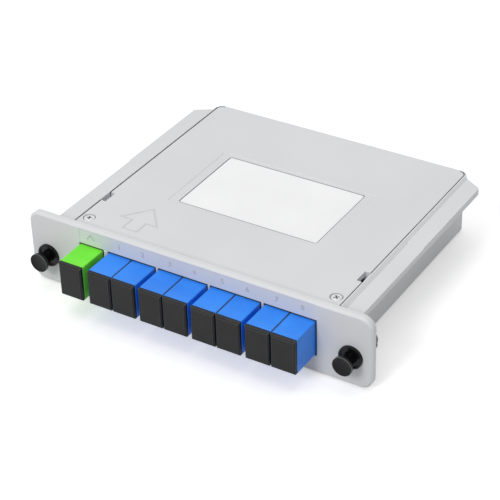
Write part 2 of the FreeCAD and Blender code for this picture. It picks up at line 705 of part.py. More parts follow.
def alignment_sleeves():
    # Split ceramic sleeves, one in the middle of each adapter.
    sleeves = []
    front = ADAPTER_MIDDLE - SLEEVE_LENGTH / 2
    rear = ADAPTER_MIDDLE + SLEEVE_LENGTH / 2
    for x in PORT_XS:
        ring = flat_sided_y(x, SLEEVE_RADIUS, front, rear)
        ring = ring.cut(flat_sided_y(x, SLEEVE_BORE, front - OVERCUT, rear + OVERCUT))
        slot = block(
            (x - SLEEVE_SLOT / 2, front - OVERCUT, PORT_Z),
            (x + SLEEVE_SLOT / 2, rear + OVERCUT, PORT_Z + 2 * SLEEVE_RADIUS),
        )
        sleeves.append(ring.cut(slot))
    return Part.makeCompound(sleeves)


def dust_cap(x):
    plate_rear = -ADAPTER_FRONT - CAP_SEAT_GAP
    half_width = ADAPTER_WIDTH / 2 - CAP_INSET
    half_height = ADAPTER_HEIGHT / 2 - CAP_INSET
    plate = block(
        (x - half_width, plate_rear - CAP_THICKNESS, PORT_Z - half_height),
        (x + half_width, plate_rear, PORT_Z + half_height),
    )
    front_edges = [edge for edge in plate.Edges if edge.BoundBox.YMax < plate_rear - CAP_THICKNESS / 2]
    plate = plate.makeChamfer(CAP_BEVEL, front_edges)
    plug_width = SOCKET_WIDTH / 2 - PLUG_CLEARANCE
    plug_height = SOCKET_HEIGHT / 2 - PLUG_CLEARANCE
    plug = block(
        (x - plug_width, plate_rear, PORT_Z - plug_height),
        (x + plug_width, plate_rear + PLUG_LENGTH, PORT_Z + plug_height),
    )
    hollow = block(
        (x - plug_width + PLUG_WALL, plate_rear, PORT_Z - plug_height + PLUG_WALL),
        (x + plug_width - PLUG_WALL, plate_rear + PLUG_LENGTH, PORT_Z + plug_height - PLUG_WALL),
    )
    return plate.fuse(plug).cut(hollow)


def connector(x):
    # The plug that sits in an adapter's rear socket.
    width = SOCKET_WIDTH - 2 * PLUG_CLEARANCE
    height = SOCKET_HEIGHT - 2 * PLUG_CLEARANCE
    return port_bar(x, width, height, CONNECTOR_FRONT, CONNECTOR_REAR, CONNECTOR_BEVEL)


def ferrules():
    front = ADAPTER_MIDDLE + FERRULE_MATING_GAP
    bars = [flat_sided_y(x, FERRULE_RADIUS, front, CONNECTOR_FRONT) for x in PORT_XS]
    return Part.makeCompound(bars)


def connector_boot(x):
    taper_start = CONNECTOR_REAR + BOOT_COLLAR_LENGTH
    collar = flat_sided_y(x, BOOT_ROOT_RADIUS, CONNECTOR_REAR, taper_start)
    return collar.fuse(flat_sided_y(x, BOOT_ROOT_RADIUS, taper_start, BOOT_END, BOOT_TIP_RADIUS))


def latch_grommet(x):
    # A flanged bush with four sprung legs that end in a barb.
    bore = STEM_RADIUS + LATCH_FIT
    neck = LATCH_HOLE_RADIUS - LATCH_FIT
    front = -LATCH_FLANGE_THICKNESS
    dish_floor = front + FLANGE_DISH_DEPTH
    dish_radius = FLANGE_RADIUS - FLANGE_DISH_WIDTH
    leg_end = PANEL_THICKNESS + LEG_LENGTH
    barb_start = leg_end - BARB_LENGTH
    bush = turned_y(x, LATCH_Z, [
        (bore, dish_floor),
        (dish_radius, dish_floor),
        (dish_radius, front),
        (FLANGE_RADIUS, front),
        (FLANGE_RADIUS, 0),
        (neck, 0),
        (neck, PANEL_THICKNESS),
        (bore, PANEL_THICKNESS),
    ])
    leg = [
        (bore, PANEL_THICKNESS),
        (neck, PANEL_THICKNESS),
        (neck, barb_start),
        (BARB_RADIUS, barb_start),
        (BARB_TIP_RADIUS, leg_end),
        (bore, leg_end),
    ]
    pitch = 360 / LEG_COUNT
    first = (pitch - LEG_ANGLE) / 2
    legs = [
        turned_y(x, LATCH_Z, leg, first + pitch * index, LEG_ANGLE) for index in range(LEG_COUNT)
    ]
    return bush.fuse(legs).removeSplitter()


def latch_plunger(x):
    # The pull knob, drawn out at rest, on a stem that runs between the legs to a stop disc.
    knob_rear = FLANGE_DISH_DEPTH - LATCH_FLANGE_THICKNESS - LATCH_TRAVEL - KNOB_GAP
    knob_front = knob_rear - KNOB_THICKNESS
    tip_front = PANEL_THICKNESS + LEG_LENGTH + LATCH_GAP
    tip_rear = tip_front + STEM_TIP_LENGTH
    return turned_y(x, LATCH_Z, [
        (0, knob_front),
        (KNOB_RADIUS - KNOB_BEVEL, knob_front),
        (KNOB_RADIUS, knob_front + KNOB_BEVEL),
        (KNOB_RADIUS, knob_rear),
        (STEM_RADIUS, knob_rear),
        (STEM_RADIUS, tip_front),
        (STEM_TIP_RADIUS, tip_front),
        (STEM_TIP_RADIUS, tip_rear),
        (0, tip_rear),
    ])


def splitter_tube():
    half = SPLITTER_WIDTH / 2
    tube = block(
        (SPLITTER_LEFT_X, SPLITTER_Y - half, SPLITTER_BOTTOM),
        (SPLITTER_RIGHT_X, SPLITTER_Y + half, SPLITTER_BOTTOM + SPLITTER_HEIGHT),
    )
    tube = tube.makeFillet(SPLITTER_WALL, edges_along(tube, point(1, 0, 0), lambda m: True))
    hollow = block(
        (SPLITTER_LEFT_X - OVERCUT, SPLITTER_Y - half + SPLITTER_WALL,
         SPLITTER_BOTTOM + SPLITTER_WALL),
        (SPLITTER_RIGHT_X + OVERCUT, SPLITTER_Y + half - SPLITTER_WALL,
         SPLITTER_BOTTOM + SPLITTER_HEIGHT - SPLITTER_WALL),
    )
    return tube.cut(hollow)


def waveguide_chip():
    middle = (SPLITTER_LEFT_X + SPLITTER_RIGHT_X) / 2
    bottom = SPLITTER_BOTTOM + SPLITTER_WALL + CHIP_GAP
    top = SPLITTER_BOTTOM + SPLITTER_HEIGHT - SPLITTER_WALL - CHIP_GAP
    return block(
        (middle - CHIP_LENGTH / 2, SPLITTER_Y - CHIP_WIDTH / 2, bottom),
        (middle + CHIP_LENGTH / 2, SPLITTER_Y + CHIP_WIDTH / 2, top),
    )


def splitter_end_boot(end_x, outward):
    # A rubber end plug: a collar outside the tube and a shank inside it.
    half_width = SPLITTER_WIDTH / 2
    half_height = SPLITTER_HEIGHT / 2
    collar_x = end_x + outward * END_BOOT_COLLAR
    shank_x = end_x - outward * END_BOOT_DEPTH
    inset = SPLITTER_WALL + END_BOOT_CLEARANCE
    collar = block(
        (min(end_x, collar_x), SPLITTER_Y - half_width, SPLITTER_Z - half_height),
        (max(end_x, collar_x), SPLITTER_Y + half_width, SPLITTER_Z + half_height),
    )
    shank = block(
        (min(end_x, shank_x), SPLITTER_Y - half_width + inset, SPLITTER_Z - half_height + inset),
        (max(end_x, shank_x), SPLITTER_Y + half_width - inset, SPLITTER_Z + half_height - inset),
    )
    return collar.fuse(shank)


def fibre(name, route, radii):
    # Straight runs joined by tangent arcs, with a radius for each inner point of the route.
    heading = (route[1] - route[0]).normalize()
    across = point(0, 0, 1)
    section = Part.Face(flat_sided(route[0], heading, across, FIBRE_RADIUS, FIBRE_FLAT_COUNT))
    pieces = []
    used_radii = []
    length = 0
    run_start = route[0]
    for before, corner, after, radius in zip(route, route[1:], route[2:], radii):
        back = (before - corner).normalize()
        ahead = (after - corner).normalize()
        turn = math.pi - back.getAngle(ahead)
        if radius is None:
            radius = EASE_LENGTH / math.tan(turn / 2)
        setback = radius * math.tan(turn / 2)
        centre = corner + (back + ahead).normalize() * (radius / math.cos(turn / 2))
        axis = ahead.cross(back).normalize()
        run = corner + back * setback - run_start
        pieces.append(section.extrude(run))
        section.translate(run)
        pieces.append(section.revolve(centre, axis, math.degrees(turn)))
        section.rotate(centre, axis, math.degrees(turn))
        run_start = corner + ahead * setback
        length += run.Length + radius * turn
        used_radii.append("%.1f" % radius)
    run = route[-1] - run_start
    length += run.Length
    pieces.append(section.extrude(run))
    cord = pieces[0].fuse(pieces[1:]).removeSplitter()
    print("fibre %s: length %.1f mm, bend radii %s mm, section times length %.2f, volume %.2f" % (
        name, length, ", ".join(used_radii), section.Area * length, cord.Volume))
    return cord


def input_fibre():
    # From the splitter's right end, round the right side and the rear, to the input connector.
    route = [
        point(SPLITTER_RIGHT_X + END_BOOT_COLLAR, SPLITTER_Y, SPLITTER_Z),
        point(INPUT_LANE_X, SPLITTER_Y, SPLITTER_Z),
        point(INPUT_LANE_X, INPUT_REAR_Y, SPLITTER_Z),
        point(INPUT_X, INPUT_REAR_Y, SPLITTER_Z),
        point(INPUT_X, BOOT_END + STRAIGHT_OUT, PORT_Z),
        point(INPUT_X, BOOT_END, PORT_Z),
    ]
    return fibre("in", route, [INPUT_END_RADIUS, BEND_RADIUS, BEND_RADIUS, None])


def output_fibre(index):
    # From an output connector to the rear, round the left side, into the splitter's left end.
    # Two fibres share each lane, one above the other.
    lane = index // 2
    level = LEVEL_PITCH * (index % 2 - 0.5)
    x = OUTPUT_XS[index]
    bend_x = max(x, LEFT_LANE_X + FIRST_BEND_RUN + BEND_STEP * index)
    widening = LANE_PITCH * lane
    rear_y = REAR_LANE_Y + widening
    left_x = LEFT_LANE_X - widening
    front_y = SPLITTER_Y + LANE_PITCH * ((LANES - 1) / 2 - lane)
    route = [
        point(x, BOOT_END, PORT_Z),
        point(x, BOOT_END + STRAIGHT_OUT, PORT_Z),
        point(bend_x, rear_y, PORT_Z + level),
        point(left_x, rear_y, PORT_Z + level),
        point(left_x, front_y, SPLITTER_Z + level),
        point(SPLITTER_LEFT_X - END_BOOT_COLLAR, front_y, SPLITTER_Z + level),
    ]
    radii = [None, BEND_RADIUS, BEND_RADIUS + widening, OUTPUT_END_RADIUS + widening]
    return fibre(PORT_NAMES[index + 1], route, radii)


def all_parts():
    parts = {
        "base_housing": base_housing(),
        "top_cover": top_cover(),
        "cover_screws": cover_screws(),
        "blank_label": blank_label(),
        "alignment_sleeves": alignment_sleeves(),
        "ferrules": ferrules(),
        "splitter_tube": splitter_tube(),
        "waveguide_chip": waveguide_chip(),
        "splitter_input_boot": splitter_end_boot(SPLITTER_RIGHT_X, 1),
        "splitter_output_boot": splitter_end_boot(SPLITTER_LEFT_X, -1),
        "fibre_in": input_fibre(),
    }
    for name, x in zip(PORT_NAMES, PORT_XS):
        parts["adapter_" + name] = adapter(x)
        parts["dust_cap_" + name] = dust_cap(x)
        parts["connector_" + name] = connector(x)
        parts["connector_boot_" + name] = connector_boot(x)
    for index in range(len(OUTPUT_XS)):
        parts["fibre_" + PORT_NAMES[index + 1]] = output_fibre(index)
    for side_name, side in (("left", -1), ("right", 1)):
        parts["latch_grommet_" + side_name] = latch_grommet(side * LATCH_X)
        parts["latch_plunger_" + side_name] = latch_plunger(side * LATCH_X)
    return parts


def main():
    # The model is moved so that its origin is the middle of its footprint.
    os.makedirs("parts", exist_ok=True)
    for name, shape in all_parts().items():
        shape.translate(point(0, -MIDDLE_Y, 0))
        shape.exportStep("parts/%s.step" % name)


main()
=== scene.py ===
import bpy, bmesh, json, math
from mathutils import Matrix, Vector


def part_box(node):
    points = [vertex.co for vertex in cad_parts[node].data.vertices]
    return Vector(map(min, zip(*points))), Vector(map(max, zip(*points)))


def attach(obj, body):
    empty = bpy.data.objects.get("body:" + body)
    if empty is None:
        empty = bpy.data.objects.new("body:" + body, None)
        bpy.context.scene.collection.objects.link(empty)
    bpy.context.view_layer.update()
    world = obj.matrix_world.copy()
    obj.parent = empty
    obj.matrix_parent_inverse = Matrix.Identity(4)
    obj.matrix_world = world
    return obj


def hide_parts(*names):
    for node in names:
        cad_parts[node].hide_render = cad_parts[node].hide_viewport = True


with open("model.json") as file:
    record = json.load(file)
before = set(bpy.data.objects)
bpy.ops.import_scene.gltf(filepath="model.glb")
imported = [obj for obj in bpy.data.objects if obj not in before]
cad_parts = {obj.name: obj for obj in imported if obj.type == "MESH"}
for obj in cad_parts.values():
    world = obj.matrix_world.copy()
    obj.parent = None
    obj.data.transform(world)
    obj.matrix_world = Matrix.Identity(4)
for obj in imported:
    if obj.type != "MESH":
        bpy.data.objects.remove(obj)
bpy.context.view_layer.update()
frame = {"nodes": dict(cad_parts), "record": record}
mm = 0.001
print("stage: frame loaded,", len(frame["nodes"]), "nodes")


# Finishes. The two tones are mixed by a wide noise. Patch, grain and edgeSize are in mm.
finishes = {
    "housingPlastic": {"tones": ((0.676, 0.682, 0.698), (0.702, 0.708, 0.723)), "patch": 30, "grain": 0.40,
                       "bump": 0.010, "roughness": (0.40, 0.50), "edge": (0.93, 0.935, 0.945),
                       "edgeAmount": 0.9, "edgeSize": 0.18},
    "markGrey": {"tones": ((0.47, 0.475, 0.485), (0.52, 0.525, 0.535)), "patch": 4, "grain": 0.30,
                 "bump": 0.010, "roughness": (0.46, 0.56), "edge": (0.60, 0.60, 0.61), "edgeAmount": 0.3},
    "signGrey": {"tones": ((0.60, 0.605, 0.618), (0.640, 0.646, 0.660)), "patch": 8, "grain": 0.30,
                 "bump": 0.010, "roughness": (0.42, 0.52), "edge": (0.72, 0.725, 0.735), "edgeAmount": 0.5},
    "labelPaper": {"tones": ((0.885, 0.887, 0.895), (0.915, 0.917, 0.925)), "patch": 18, "grain": 0.22,
                   "bump": 0.005, "roughness": (0.50, 0.60), "edge": (0.92, 0.92, 0.93), "edgeAmount": 0.2},
    # Painted shade: a near-black finish for strips set in the seam, the port openings, the gaps between
    # paired adapters and the label's groove.
    "paintedGapShade": {"tones": ((0.018, 0.018, 0.019), (0.028, 0.028, 0.030)), "patch": 6, "grain": 0.25,
                 "bump": 0.004, "roughness": (0.60, 0.70), "edge": (0.08, 0.08, 0.08), "edgeAmount": 0.2,
                 "edgeSize": 0.05, "specular": 0.3},
    "greenPlastic": {"tones": ((0.160, 0.830, 0.030), (0.195, 0.900, 0.042)), "patch": 9, "grain": 0.30,
                     "bump": 0.005, "roughness": (0.28, 0.38), "edge": (0.50, 0.97, 0.34),
                     "edgeAmount": 0.35, "edgeSize": 0.15, "specular": 0.38},
    "bluePlastic": {"tones": ((0.018, 0.228, 0.890), (0.026, 0.268, 0.960)), "patch": 9, "grain": 0.30,
                    "bump": 0.005, "roughness": (0.28, 0.38), "edge": (0.22, 0.50, 1.0),
                    "edgeAmount": 0.35, "edgeSize": 0.15, "specular": 0.38},
    # The caps' grey edge colour is a painted highlight along their bevels.
    "capPlastic": {"tones": ((0.009, 0.009, 0.010), (0.013, 0.013, 0.014)), "patch": 7, "grain": 0.32,
                   "bump": 0.010, "roughness": (0.38, 0.50), "edge": (0.20, 0.20, 0.205),
                   "edgeAmount": 0.8, "edgeSize": 0.22, "specular": 0.24},
    "latchPlastic": {"tones": ((0.005, 0.005, 0.006), (0.008, 0.008, 0.009)), "patch": 5, "grain": 0.35,
                     "bump": 0.003, "roughness": (0.14, 0.22), "edge": (0.06, 0.06, 0.06),
                     "edgeAmount": 0.5, "edgeSize": 0.15, "specular": 0.20},
    # The knob's light edge colour is a painted highlight along its rim.
    "knobPlastic": {"tones": ((0.004, 0.004, 0.005), (0.007, 0.007, 0.008)), "patch": 5, "grain": 0.35,
                    "bump": 0.003, "roughness": (0.14, 0.22), "edge": (0.42, 0.42, 0.42),
                    "edgeAmount": 0.9, "edgeSize": 0.22, "specular": 0.16},
    "screwSteel": {"tones": ((0.62, 0.62, 0.63), (0.76, 0.76, 0.77)), "patch": 1.5, "grain": 0.12,
                   "bump": 0.008, "roughness": (0.34, 0.46), "edge": (0.92, 0.92, 0.93),
                   "edgeAmount": 0.6, "metallic": 0.35},
    # Painted shade for the faces inside the screws' cross recess.
    "screwRecessShade": {"tones": ((0.20, 0.20, 0.20), (0.28, 0.28, 0.28)), "patch": 0.8, "grain": 0.12,
                    "bump": 0.008, "roughness": (0.50, 0.60), "edge": (0.30, 0.30, 0.30),
                    "edgeAmount": 0.3, "metallic": 0.35},
    "tubeSteel": {"tones": ((0.46, 0.46, 0.48), (0.58, 0.58, 0.60)), "patch": 4, "grain": 0.20,
                  "bump": 0.012, "roughness": (0.26, 0.38), "edge": (0.80, 0.80, 0.82),
                  "edgeAmount": 0.6, "metallic": 1.0},
    "ceramic": {"tones": ((0.83, 0.82, 0.78), (0.90, 0.89, 0.85)), "patch": 2, "grain": 0.15,
                "bump": 0.003, "roughness": (0.14, 0.22), "edge": (0.95, 0.95, 0.92), "edgeAmount": 0.3},
    "bootRubber": {"tones": ((0.030, 0.030, 0.032), (0.045, 0.045, 0.047)), "patch": 3, "grain": 0.25,
                   "bump": 0.020, "roughness": (0.62, 0.74), "edge": (0.10, 0.10, 0.10),
                   "edgeAmount": 0.5},
    "fibreJacket": {"tones": ((0.79, 0.77, 0.68), (0.86, 0.84, 0.74)), "patch": 8, "grain": 0.25,
                    "bump": 0.004, "roughness": (0.34, 0.44), "edge": (0.92, 0.90, 0.84),
                    "edgeAmount": 0.2},
    "chipGlass": {"tones": ((0.72, 0.80, 0.84), (0.80, 0.87, 0.90)), "patch": 3, "grain": 0.20,
                  "bump": 0.002, "roughness": (0.06, 0.12), "edge": (0.95, 0.97, 0.98),
                  "edgeAmount": 0.4},
}


# Values that hold where a finish gives none of its own. An edge is lighter where the rounded normal turns
# away from the face's own: partly wear and partly painted highlight.
finishRule = {"toneFrom": 0.35, "toneTo": 0.65, "patchDetail": 4.0, "grainDetail": 2.0, "edgeSamples": 8,
              "edgeSize": 0.22, "edgeLightFull": 0.86, "grainLow": 0.3, "grainHigh": 0.7, "bumpStrength": 0.5,
              "metallic": 0.0, "specular": 0.5}


def makeFinish(name, look):
    look = {**finishRule, **look}
    material = bpy.data.materials.new(name)
    material.use_nodes = True
    nodes, links = material.node_tree.nodes, material.node_tree.links
    nodes.clear()
    output = nodes.new("ShaderNodeOutputMaterial")
    shader = nodes.new("ShaderNodeBsdfPrincipled")
    links.new(shader.outputs["BSDF"], output.inputs["Surface"])
    place = nodes.new("ShaderNodeTexCoord")

    def noise(size, detail):
        node = nodes.new("ShaderNodeTexNoise")
        node.inputs["Scale"].default_value = 1.0 / (size * mm)
        node.inputs["Detail"].default_value = detail
        links.new(place.outputs["Object"], node.inputs["Vector"])
        return node

    wide = noise(look["patch"], look["patchDetail"])
    fine = noise(look["grain"], look["grainDetail"])
    tones = nodes.new("ShaderNodeValToRGB")
    positions = (look["toneFrom"], look["toneTo"])
    for element, position, tone in zip(tones.color_ramp.elements, positions, look["tones"]):
        element.position = position
        element.color = (*tone, 1)
    links.new(wide.outputs["Fac"], tones.inputs["Fac"])

    # the edges, lighter as wear and as painted highlight
    soft = nodes.new("ShaderNodeBevel")
    soft.samples = look["edgeSamples"]
    soft.inputs["Radius"].default_value = look["edgeSize"] * mm
    shape = nodes.new("ShaderNodeNewGeometry")
    match = nodes.new("ShaderNodeVectorMath")
    match.operation = "DOT_PRODUCT"
    links.new(soft.outputs["Normal"], match.inputs[0])
    links.new(shape.outputs["Normal"], match.inputs[1])
    edgeWearAndHighlight = nodes.new("ShaderNodeMapRange")
    edgeWearAndHighlight.inputs["From Min"].default_value = 1.0
    edgeWearAndHighlight.inputs["From Max"].default_value = look["edgeLightFull"]
    edgeWearAndHighlight.inputs["To Max"].default_value = look["edgeAmount"]
    links.new(match.outputs["Value"], edgeWearAndHighlight.inputs["Value"])
    mix = nodes.new("ShaderNodeMix")
    mix.data_type = "RGBA"
    links.new(edgeWearAndHighlight.outputs["Result"], mix.inputs["Factor"])
    links.new(tones.outputs["Color"], mix.inputs["A"])
    mix.inputs["B"].default_value = (*look["edge"], 1)
    links.new(mix.outputs["Result"], shader.inputs["Base Color"])

    # the roughness and the bump follow the fine grain
    sheen = nodes.new("ShaderNodeMapRange")
    sheen.inputs["From Min"].default_value = look["grainLow"]
    sheen.inputs["From Max"].default_value = look["grainHigh"]
    sheen.inputs["To Min"].default_value = look["roughness"][0]
    sheen.inputs["To Max"].default_value = look["roughness"][1]
    links.new(fine.outputs["Fac"], sheen.inputs["Value"])
    links.new(sheen.outputs["Result"], shader.inputs["Roughness"])
    bump = nodes.new("ShaderNodeBump")
    bump.inputs["Strength"].default_value = look["bumpStrength"]
    bump.inputs["Distance"].default_value = look["bump"] * mm
    links.new(fine.outputs["Fac"], bump.inputs["Height"])
    links.new(soft.outputs["Normal"], bump.inputs["Normal"])
    links.new(bump.outputs["Normal"], shader.inputs["Normal"])
    shader.inputs["Metallic"].default_value = look["metallic"]
    shader.inputs["Specular IOR Level"].default_value = look["specular"]
    return material


finish = {name: makeFinish(name, look) for name, look in finishes.items()}

finishBySlot = {
    "housing_plastic": "housingPlastic", "screw_steel": "screwSteel", "label_paper": "labelPaper",
    "adapter_green": "greenPlastic", "adapter_blue": "bluePlastic",
    "sleeve_ceramic": "ceramic", "ferrule_ceramic": "ceramic",
    "connector_green": "greenPlastic", "connector_blue": "bluePlastic",
    "boot_rubber": "bootRubber", "fibre_jacket": "fibreJacket", "splitter_steel": "tubeSteel",
    "chip_glass": "chipGlass", "latch_plastic": "latchPlastic", "cap_plastic": "capPlastic",
}
for entry in frame["record"]["subparts"]:
    cadObject = frame["nodes"][entry["node"]]
    cadObject.data.materials.clear()
    cadObject.data.materials.append(finish[finishBySlot[entry["material_slot"]]])
print("stage: finishes on the frame's nodes")


# Points closer than this, in metres, become one. An edge is sharp if its faces turn by more degrees than
# this, on the spun pieces and on the rest.
weldDistance = 1e-7
spunAngle, pieceAngle = 32, 40


def boxInMm(node):
    low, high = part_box(node)
    return low / mm, high / mm


def finishedObject(name, mesh, look, body="cassette"):
    piece = bpy.data.objects.new(name, mesh)
    bpy.context.scene.collection.objects.link(piece)
    mesh.materials.clear()
    mesh.materials.append(finish[look])
    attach(piece, body)
    return piece


def sharpByAngle(bm, degrees):
    bm.normal_update()
    for face in bm.faces:
        face.smooth = True
    for edge in bm.edges:
        if len(edge.link_faces) == 2 and edge.calc_face_angle(0) > math.radians(degrees):
            edge.smooth = False


def spunMesh(profile, centre, axis, steps):
    # The profile holds (radius, distance along the axis) in mm, turned about the axis.
    bm = bmesh.new()
    along = Vector(axis)
    across = Vector((1, 0, 0))
    points = []
    for radius, reach in profile:
        points.append(bm.verts.new(Vector(centre) + across * radius * mm + along * reach * mm))
    edges = [bm.edges.new(pair) for pair in zip(points, points[1:])]
    bmesh.ops.spin(bm, geom=points + edges, cent=centre, axis=axis, dvec=(0, 0, 0), angle=2 * math.pi,
                   steps=steps, use_merge=True, use_duplicate=False)
    bmesh.ops.remove_doubles(bm, verts=bm.verts, dist=weldDistance)
    bmesh.ops.recalc_face_normals(bm, faces=bm.faces)
    return bm


def toMesh(bm, name):
    mesh = bpy.data.meshes.new(name)
    bm.to_mesh(mesh)
    bm.free()
    return mesh


def cutMesh(mesh, cutters, name):
    # Takes boxes out of a mesh. Each is its centre and size in mm and its turn about Z in degrees.
    bm = bmesh.new()
    for centre, size, turn in cutters:
        place = Matrix.Translation(Vector(centre) * mm) @ Matrix.Rotation(math.radians(turn), 4, "Z")
        bmesh.ops.create_cube(bm, size=1.0, matrix=place @ Matrix.Diagonal((*(Vector(size) * mm), 1)))
    knife = bpy.data.objects.new("knife", toMesh(bm, "knife"))
    blank = bpy.data.objects.new("blank", mesh)
    for item in (knife, blank):
        bpy.context.scene.collection.objects.link(item)
    cut = blank.modifiers.new("cut", "BOOLEAN")
    cut.operation = "DIFFERENCE"
    cut.solver = "EXACT"
    cut.use_self = True
    cut.object = knife
    bpy.context.view_layer.update()
    view = bpy.context.evaluated_depsgraph_get()
    result = bpy.data.meshes.new_from_object(blank.evaluated_get(view))
    result.name = name
    for item in (knife, blank):
        bpy.data.objects.remove(item)
    bm = bmesh.new()
    bm.from_mesh(result)
    bmesh.ops.remove_doubles(bm, verts=bm.verts, dist=weldDistance)
    sharpByAngle(bm, spunAngle)
    bm.to_mesh(result)
    bm.free()
    return result


baseLow, baseHigh = boxInMm("base_housing")
coverLow, coverHigh = boxInMm("top_cover")
panelFace = baseLow.y


# Cover screws: flat heads with a cross recess, whose inner faces carry a darker finish as painted shade.
screw = {"shankRadius": 0.75, "tip": ((0.2, 0.1), (0, 0.6)), "headHeight": 1.2, "rimRound": 0.22,
         "rimShare": 0.3, "crossLength": 1.9, "crossWidth": 0.42, "crossDepth": 0.60,
         "turns": {"left": 18, "right": 40}, "steps": 48, "recessShare": 0.56, "recessTop": 0.01}
screwLow, screwHigh = boxInMm("cover_screws")
headRadius = (screwHigh.y - screwLow.y) / 2
screwY = (screwHigh.y + screwLow.y) / 2

for side, sideName in ((-1, "left"), (1, "right")):
    x = side * (screwHigh.x - headRadius)
    top = screwHigh.z
    bottom = top - screw["headHeight"]
    soften, shank = screw["rimRound"], screw["shankRadius"]
    share = soften * screw["rimShare"]
    profile = [(0, screwLow.z)]
    profile += [(shank - inward, screwLow.z + reach) for inward, reach in screw["tip"]]
    profile += [(shank, bottom), (headRadius, bottom), (headRadius, top - soften),
                (headRadius - share, top - share), (headRadius - soften, top), (0, top)]
    axisAt = Vector((x, screwY, 0)) * mm
    blank = toMesh(spunMesh(profile, axisAt, (0, 0, 1), screw["steps"]), "screwBlank")
    bar = (screw["crossLength"], screw["crossWidth"], 2 * screw["crossDepth"])
    turn = screw["turns"][sideName]
    headMesh = cutMesh(blank, [((x, screwY, top), bar, turn), ((x, screwY, top), bar, turn + 90)],
                       "coverScrew_" + sideName)
    head = finishedObject("coverScrew_" + sideName, headMesh, "screwSteel")
    # the faces inside the cross get the darker finish: painted shade in the recess
    headMesh.materials.append(finish["screwRecessShade"])
    for face in headMesh.polygons:
        middle = face.center / mm
        outward = math.hypot(middle.x - x, middle.y - screwY)
        inCross = outward < screw["crossLength"] * screw["recessShare"]
        if inCross and bottom < middle.z < top - screw["recessTop"]:
            face.material_index = 1
    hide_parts("cover_screws")
print("stage: screws")


# Push latches: flanged grommets with sprung legs, and their pull knobs. Each rim is a list of pairs: how
# far in from its radius, and how far back from its face.
latch = {"bore": 2.18, "neck": 3.52, "flangeRadius": 4.1, "flangeThickness": 1.0, "dishRadius": 3.5,
         "dishDepth": 0.6, "dishFoot": 0.10, "dishEdge": 0.08, "dishLip": 0.06,
         "flangeRim": ((0.16, 0), (0.04, 0.05), (0, 0.16)), "legLength": 8.1, "barbLength": 3.6,
         "tipRadius": 3.2, "tipTaper": 0.9, "slot": 0.6, "slotOver": 1, "slotReach": 10,
         "knobThickness": 1.15, "knobDish": 0.10, "knobRim": ((0.80, 0.10), (0.62, 0.05), (0.46, 0), (0, 0)),
         "knobBack": ((0, -0.22), (0.08, -0.06), (0.25, 0)), "stem": 2.1,
         "stemRoot": ((-0.20, 0), (-0.05, 0.06), (0, 0.20)), "discRadius": 3.1, "discThickness": 1.2,
         "discRound": 0.2, "steps": 72}


def rimPoints(radius, reach, pairs):
    return [(radius - inward, reach + back) for inward, back in pairs]


for sideName in ("left", "right"):
    bushLow, bushHigh = boxInMm("latch_grommet_" + sideName)
    pullLow, pullHigh = boxInMm("latch_plunger_" + sideName)
    x, z = (bushLow.x + bushHigh.x) / 2, (bushLow.z + bushHigh.z) / 2
    centre = Vector((x, 0, z)) * mm
    face, legEnd = bushLow.y, bushHigh.y
    panel = face + latch["flangeThickness"]
    barbStart, barb = legEnd - latch["barbLength"], (bushHigh.x - bushLow.x) / 2
    floorOfDish = face + latch["dishDepth"]
    outer, dish, dishEdge = latch["flangeRadius"], latch["dishRadius"], latch["dishEdge"]
    profile = [(latch["bore"], floorOfDish), (dish - latch["dishFoot"], floorOfDish),
               (dish, floorOfDish - dishEdge), (dish, face + dishEdge), (dish + latch["dishLip"], face),
               *rimPoints(outer, face, latch["flangeRim"]), (outer, panel), (latch["neck"], panel),
               (latch["neck"], barbStart), (barb, barbStart), (barb, legEnd - latch["tipTaper"]),
               (latch["tipRadius"], legEnd), (latch["bore"], legEnd), (latch["bore"], floorOfDish)]
    bushMesh = toMesh(spunMesh(profile, centre, (0, 1, 0), latch["steps"]), "bushBlank")
    legStart, slotEnd = legEnd - latch["legLength"], legEnd + latch["slotOver"]
    where, span = (x, (legStart + slotEnd) / 2, z), slotEnd - legStart
    slots = [(where, (latch["slot"], span, latch["slotReach"]), 0),
             (where, (latch["slotReach"], span, latch["slot"]), 0)]
    bushMesh = cutMesh(bushMesh, slots, "latchGrommet_" + sideName)
    bush = finishedObject("latchGrommet_" + sideName, bushMesh, "latchPlastic")
    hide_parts("latch_grommet_" + sideName)

    front, discRear, knob = pullLow.y, pullHigh.y, (pullHigh.x - pullLow.x) / 2
    rear, discFront = front + latch["knobThickness"], discRear - latch["discThickness"]
    stem, disc, discRound = latch["stem"], latch["discRadius"], latch["discRound"]
    profile = [(0, front + latch["knobDish"]), *rimPoints(knob, front, latch["knobRim"]),
               *rimPoints(knob, rear, latch["knobBack"]), *rimPoints(stem, rear, latch["stemRoot"]),
               (stem, discFront), (disc, discFront), (disc, discRear - discRound),
               (disc - discRound, discRear), (0, discRear)]
    bm = spunMesh(profile, centre, (0, 1, 0), latch["steps"])
    sharpByAngle(bm, spunAngle)
    pull = finishedObject("latchPlunger_" + sideName, toMesh(bm, "latchPlunger_" + sideName),
                          "knobPlastic", "latch_" + sideName)
    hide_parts("latch_plunger_" + sideName)
print("stage: latches")


# Thin strips: a dark strip in the cover's seam as painted shade, a lip that closes the seam at the rear, and
# a dark strip round the label as painted shade in its groove.
strips = {"gap": 0.35, "clear": 0.01, "corner": 2.0, "seamShadeDepth": 0.06, "seamShadeHeight": 0.5,
          "notchAt": 23.7, "notchHalf": 2.9, "lipShort": 2.2, "bevel": 0.15, "labelGap": 0.2,
          "labelCorner": 1.0, "fieldRecess": 0.15, "edgeDepth": 0.01, "cornerSteps": 10, "endSides": 8}


def everything(bm):
    return bm.verts[:] + bm.edges[:] + bm.faces[:]


def closeEnds(bm):
    bmesh.ops.holes_fill(bm, edges=[edge for edge in bm.edges if edge.is_boundary], sides=strips["endSides"])
    bmesh.ops.recalc_face_normals(bm, faces=bm.faces)


